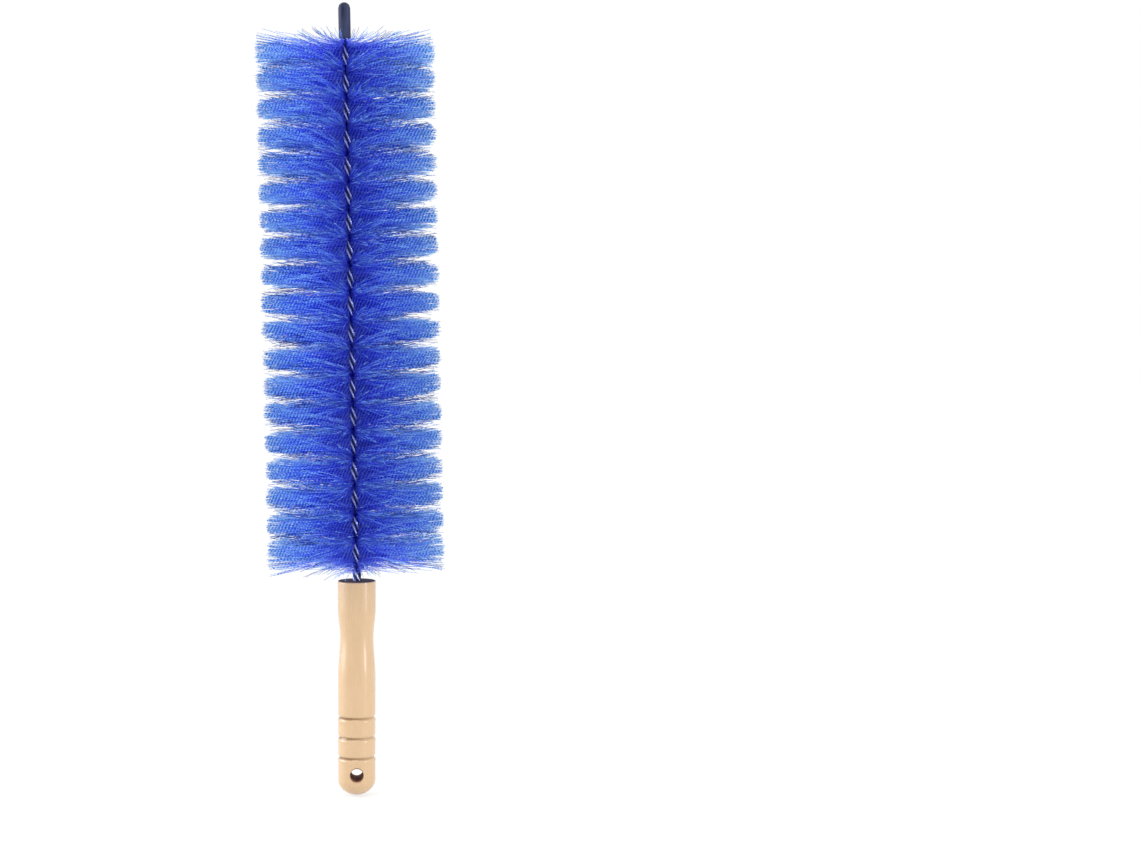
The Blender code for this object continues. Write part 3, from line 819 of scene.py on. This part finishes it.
    # The map: length along U, and along V each tone's run of crimp beads. Neighbours' crimps nest, so the beads
    # line up in slanted rows: they are counted outwards from the stem, and shift with the height and a slow drift.
    # Whole beads are taken off every face, so that it stays in the middle of its tone's run
    spot = add("GeometryNodeInputPosition")
    lead = add("GeometryNodeInputNamedAttribute", {"Name": "lead"}, data_type="FLOAT_VECTOR")
    beads = add("ShaderNodeVectorMath", {0: spot, 1: lead}, operation="DOT_PRODUCT")
    beads = add("ShaderNodeMath", {0: beads, 1: given["Bead Pitch"]}, operation="DIVIDE")
    drift = add("ShaderNodeTexNoise", {"Scale": 160, "Detail": 1})
    beads = add("ShaderNodeMath", {0: drift, 1: 2, 2: beads}, operation="MULTIPLY_ADD")
    whole = add("GeometryNodeFieldOnDomain", {0: beads}, domain="FACE")
    whole = add("ShaderNodeMath", {0: whole}, operation="FLOOR")
    beads = add("ShaderNodeMath", {0: beads, 1: whole}, operation="SUBTRACT")
    beads = add("ShaderNodeMath", {0: beads, 1: 1.5}, operation="ADD")
    tone = add("GeometryNodeInputNamedAttribute", {"Name": "tone"})
    beads = add("ShaderNodeMath", {0: tone, 1: given["Tone Beads"], 2: beads}, operation="MULTIPLY_ADD")
    all_beads = add("ShaderNodeMath", {0: given["Tones"], 1: given["Tone Beads"]}, operation="MULTIPLY")
    across = add("ShaderNodeMath", {0: beads, 1: all_beads}, operation="DIVIDE")
    around = add("GeometryNodeInputNamedAttribute", {"Name": "around"})
    lengthwise = add("ShaderNodeMath", {0: along, 1: given["Map Length"]}, operation="MULTIPLY")
    lengthwise = add("ShaderNodeMath", {0: around, 1: given["Map Width"], 2: lengthwise}, operation="MULTIPLY_ADD")
    spot = add("ShaderNodeCombineXYZ", {0: lengthwise, 1: across})
    mapped = add(
        "GeometryNodeStoreNamedAttribute",
        {"Geometry": bent, "Name": "OFBake", "Value": spot},
        domain="CORNER",
        data_type="FLOAT2",
    )
    dressed = add("GeometryNodeSetMaterial", {0: mapped, "Material": given["Material"]})
    add("NodeGroupOutput", {0: dressed})
    return tree


def row_values(row, material):
    """What the tree needs to know of one row, counted from the handle."""
    grown = min(1, END_GROWTH * abs(2 * row / (ROW_COUNT - 1) - 1))
    end = {0: BOTTOM_END, ROW_COUNT - 1: TOP_END}.get(row, NO_END)
    own = {
        "Root Height": FIRST_ROW_HEIGHT + row * HALF_TURN,
        "Lobe Spread Share": SPREAD_SHARES[0] + (SPREAD_SHARES[1] - SPREAD_SHARES[0]) * grown,
        "Loose Share": LOOSE_SHARES[0] + (LOOSE_SHARES[1] - LOOSE_SHARES[0]) * grown,
        "Shaded Side": max(-1.0, min(1.0, (row - LIGHT_TURN_ROW) / LIGHT_TURN_ROWS)),
        "Seed": SEED + row,
        "Material": material,
    }
    return BRISTLES | end | own


def make_bristles(material):
    """Nineteen rows of filament, one for each half turn of the twist."""
    tree = bristle_tree(row_values(0, material))
    for row in range(ROW_COUNT):
        filaments = run_tree(f"crimped_filaments_{row + 1:02d}", tree, row_values(row, material))
        wear(filaments, material)
        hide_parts(f"bristle_row_{row + 1:02d}")


def crimped_nylon():
    """Nylon filament, extruded, drawn and crimped between gears. The colour is a clear strong blue with painted light
    and shade: it pales towards the trimmed tips as if light came through, with a painted bead of light on every crimp,
    1.6 mm apart, and painted shade in the troughs between, darkest at the tips. Whole filaments are painted pale on a
    lobe's lit side and painted dark as shade on its other one."""
    made, add = new_material("crimped_blue_nylon")
    mapped = add("ShaderNodeUVMap", uv_map="OFBake")
    spot = add("ShaderNodeSeparateXYZ", {0: mapped}).node.outputs
    tone = add("ShaderNodeMath", {0: spot[1], 1: TONES}, operation="MULTIPLY")
    tone = add("ShaderNodeMath", {0: tone}, operation="FLOOR")
    # Painted highlight: a bead of light on every crimp, stronger towards the tips
    angle = add("ShaderNodeMath", {0: spot[1], 1: TONES * TONE_BEADS * math.tau}, operation="MULTIPLY")
    bead = add("ShaderNodeMath", {0: angle}, operation="SINE")
    strength = add("ShaderNodeMapRange", {"Value": spot[0], 1: 0, 2: 1, 3: 0.8, 4: 1})
    crest = add("ShaderNodeMath", {0: bead, 1: strength}, operation="MULTIPLY", use_clamp=True)
    # Painted light and shade by tone: the last tone is painted pale as if lit, tone nought painted dark as if in
    # shade, both more towards the tips
    pale = add("ShaderNodeMath", {0: tone, 1: TONES - 1}, operation="DIVIDE")
    pale = add("ShaderNodeMath", {0: pale, 1: 4}, operation="POWER")
    outward = add(
        "ShaderNodeMapRange", {"Value": spot[0], 1: 0.4, 2: 0.95, 3: 0, 4: 1}, interpolation_type="SMOOTHSTEP"
    )
    lit = add("ShaderNodeMapRange", {"Value": outward, 1: 0, 2: 1, 3: 0.3, 4: 0.7})
    paler = add("ShaderNodeMath", {0: pale, 1: lit, 2: crest}, operation="MULTIPLY_ADD", use_clamp=True)
    shaded = add("ShaderNodeMath", {0: 1, 1: tone}, operation="SUBTRACT", use_clamp=True)
    shade = add("ShaderNodeMapRange", {"Value": outward, 1: 0, 2: 1, 3: 0.2, 4: 0.8})
    shaded = add("ShaderNodeMath", {0: shaded, 1: shade}, operation="MULTIPLY")
    # Painted shade in the troughs between beads, navy towards the tips
    trough = add("ShaderNodeMath", {0: bead, 1: -1}, operation="MULTIPLY")
    trough = add("ShaderNodeMath", {0: trough, 1: strength}, operation="MULTIPLY", use_clamp=True)
    # The blue pales towards the tips: painted light, as if it came through them
    ramp = add("ShaderNodeValToRGB", {0: spot[0]})
    stops = ramp.node.color_ramp.elements
    stops[0].position, stops[0].color = 0.05, linear("#466AFF")
    stops[1].position, stops[1].color = 1.0, linear("#6AA2E8")
    middle = stops.new(0.65)
    middle.color = linear("#3268FF")
    tipward = add("ShaderNodeMapRange", {"Value": spot[0], 1: 0.75, 2: 1, 3: 0, 4: 1})
    trough_shade = add("ShaderNodeMix", {0: tipward, 6: linear("#3050FF"), 7: linear("#0E1C54")}, data_type="RGBA")
    colour = add("ShaderNodeMix", {0: trough, 6: ramp, 7: trough_shade}, data_type="RGBA")
    gleam = add("ShaderNodeMix", {0: outward, 6: linear("#98AAFF"), 7: linear("#9CD4FF")}, data_type="RGBA")
    colour = add("ShaderNodeMix", {0: paler, 6: colour, 7: gleam}, data_type="RGBA")
    colour = add("ShaderNodeMix", {0: shaded, 6: colour, 7: linear("#101E74")}, data_type="RGBA")
    shader = add("ShaderNodeBsdfPrincipled", {"Base Color": colour, "Roughness": 0.42, "Specular IOR Level": 0.3})
    add("ShaderNodeOutputMaterial", {0: shader})
    return made


# Studio


def seen_plain(add):
    """One for what the camera, gloss and clear things see, and nought for the light on the object."""
    path = add("ShaderNodeLightPath").node.outputs
    seen = add("ShaderNodeMath", {0: path["Is Camera Ray"], 1: path["Is Glossy Ray"]}, operation="MAXIMUM")
    return add("ShaderNodeMath", {0: seen, 1: path["Is Transmission Ray"]}, operation="MAXIMUM")


def make_world():
    """Soft light from all round; the camera, gloss and clear things see plain white."""
    world = bpy.data.worlds.new("studio")
    bpy.context.scene.world = world
    world.use_nodes = True
    world.node_tree.nodes.clear()
    add = partial(add_node, world.node_tree)
    seen = seen_plain(add)
    lighting = add("ShaderNodeBackground", {"Color": (1, 1, 1, 1), "Strength": AMBIENT})
    white = add("ShaderNodeBackground", {"Color": (1, 1, 1, 1), "Strength": 1})
    both = add("ShaderNodeMixShader", {0: seen, 1: lighting, 2: white})
    add("ShaderNodeOutputWorld", {0: both})


def make_lamp(name, place, wide, high, power):
    """A soft box that faces the middle of the duster."""
    data = bpy.data.lights.new(name, "AREA")
    data.shape = "RECTANGLE"
    data.size = wide
    data.size_y = high
    data.energy = power
    lamp = bpy.data.objects.new(name, data)
    bpy.context.scene.collection.objects.link(lamp)
    middle = (cad_box[0] + cad_box[1]) / 2
    offset = Matrix.Translation(place).translation
    lamp.location = middle + offset
    lamp.rotation_euler = (-offset).to_track_quat("-Z", "Y").to_euler()


def make_floor():
    """A plain pale floor just under the butt, which mostly shows white to the camera and keeps a faint shadow."""
    bm = bmesh.new()
    bmesh.ops.create_grid(bm, x_segments=1, y_segments=1, size=FLOOR_HALF_WIDTH)
    floor = empty_piece("studio_floor")
    bm.to_mesh(floor.data)
    bm.free()
    floor.location.z = HANDLE_LOW.z - FLOOR_GAP
    made, add = new_material("white_floor")
    seen = seen_plain(add)
    place = add("ShaderNodeTexCoord").node.outputs["Object"]
    # The paper and its shadow show by three tenths within 12 cm of the handle, and not at all past 35 cm
    away = add("ShaderNodeVectorMath", {0: place}, operation="LENGTH")
    clear = add("ShaderNodeMapRange", {"Value": away, 1: 0.12, 2: 0.35, 3: 0.7, 4: 1})
    share = add("ShaderNodeMath", {0: seen, 1: clear}, operation="MULTIPLY")
    paper = add("ShaderNodeBsdfDiffuse", {"Color": linear("#F4F4F4")})
    white = add("ShaderNodeEmission", {"Color": (1, 1, 1, 1), "Strength": FLOOR_WHITE})
    both = add("ShaderNodeMixShader", {0: share, 1: paper, 2: white})
    under = add("ShaderNodeBsdfTransparent")
    back = add("ShaderNodeNewGeometry").node.outputs["Backfacing"]
    sided = add("ShaderNodeMixShader", {0: back, 1: both, 2: under})
    add("ShaderNodeOutputMaterial", {0: sided})
    floor.data.materials.append(made)


def make_camera():
    """The photograph's camera: level with the brush's middle, turned so that the duster stands left of centre."""
    data = bpy.data.cameras.new("camera")
    data.sensor_width = SENSOR_WIDTH
    data.lens = FOCAL_PIXELS * SENSOR_WIDTH / PHOTO_WIDTH
    camera = bpy.data.objects.new("camera", data)
    bpy.context.scene.collection.objects.link(camera)
    height = HANDLE_HIGH.z + (MOUTH_PIXEL_Y - LEVEL_PIXEL_Y) * PIXEL
    camera.location = (0, -FOCAL_PIXELS * PIXEL, height)
    right = math.atan((PHOTO_WIDTH / 2 - AXIS_PIXEL_X) / FOCAL_PIXELS)
    down = math.atan((PHOTO_HEIGHT / 2 - AIM_PIXEL_Y) / FOCAL_PIXELS)
    camera.rotation_euler = (math.pi / 2 - down, -down * right, -right)
    bpy.context.scene.camera = camera


def main():
    bpy.context.scene.view_settings.view_transform = "Standard"
    # Light gets deep into the bristles by many bounces
    bpy.context.scene.cycles.diffuse_bounces = 12
    bpy.context.scene.cycles.max_bounces = 16
    make_world()
    for lamp in LAMPS:
        make_lamp(*lamp)
    make_floor()
    make_camera()

    make_handle(beech())
    make_wires(drawn_steel())
    make_cap(soft_vinyl())
    make_bristles(crimped_nylon())


main()
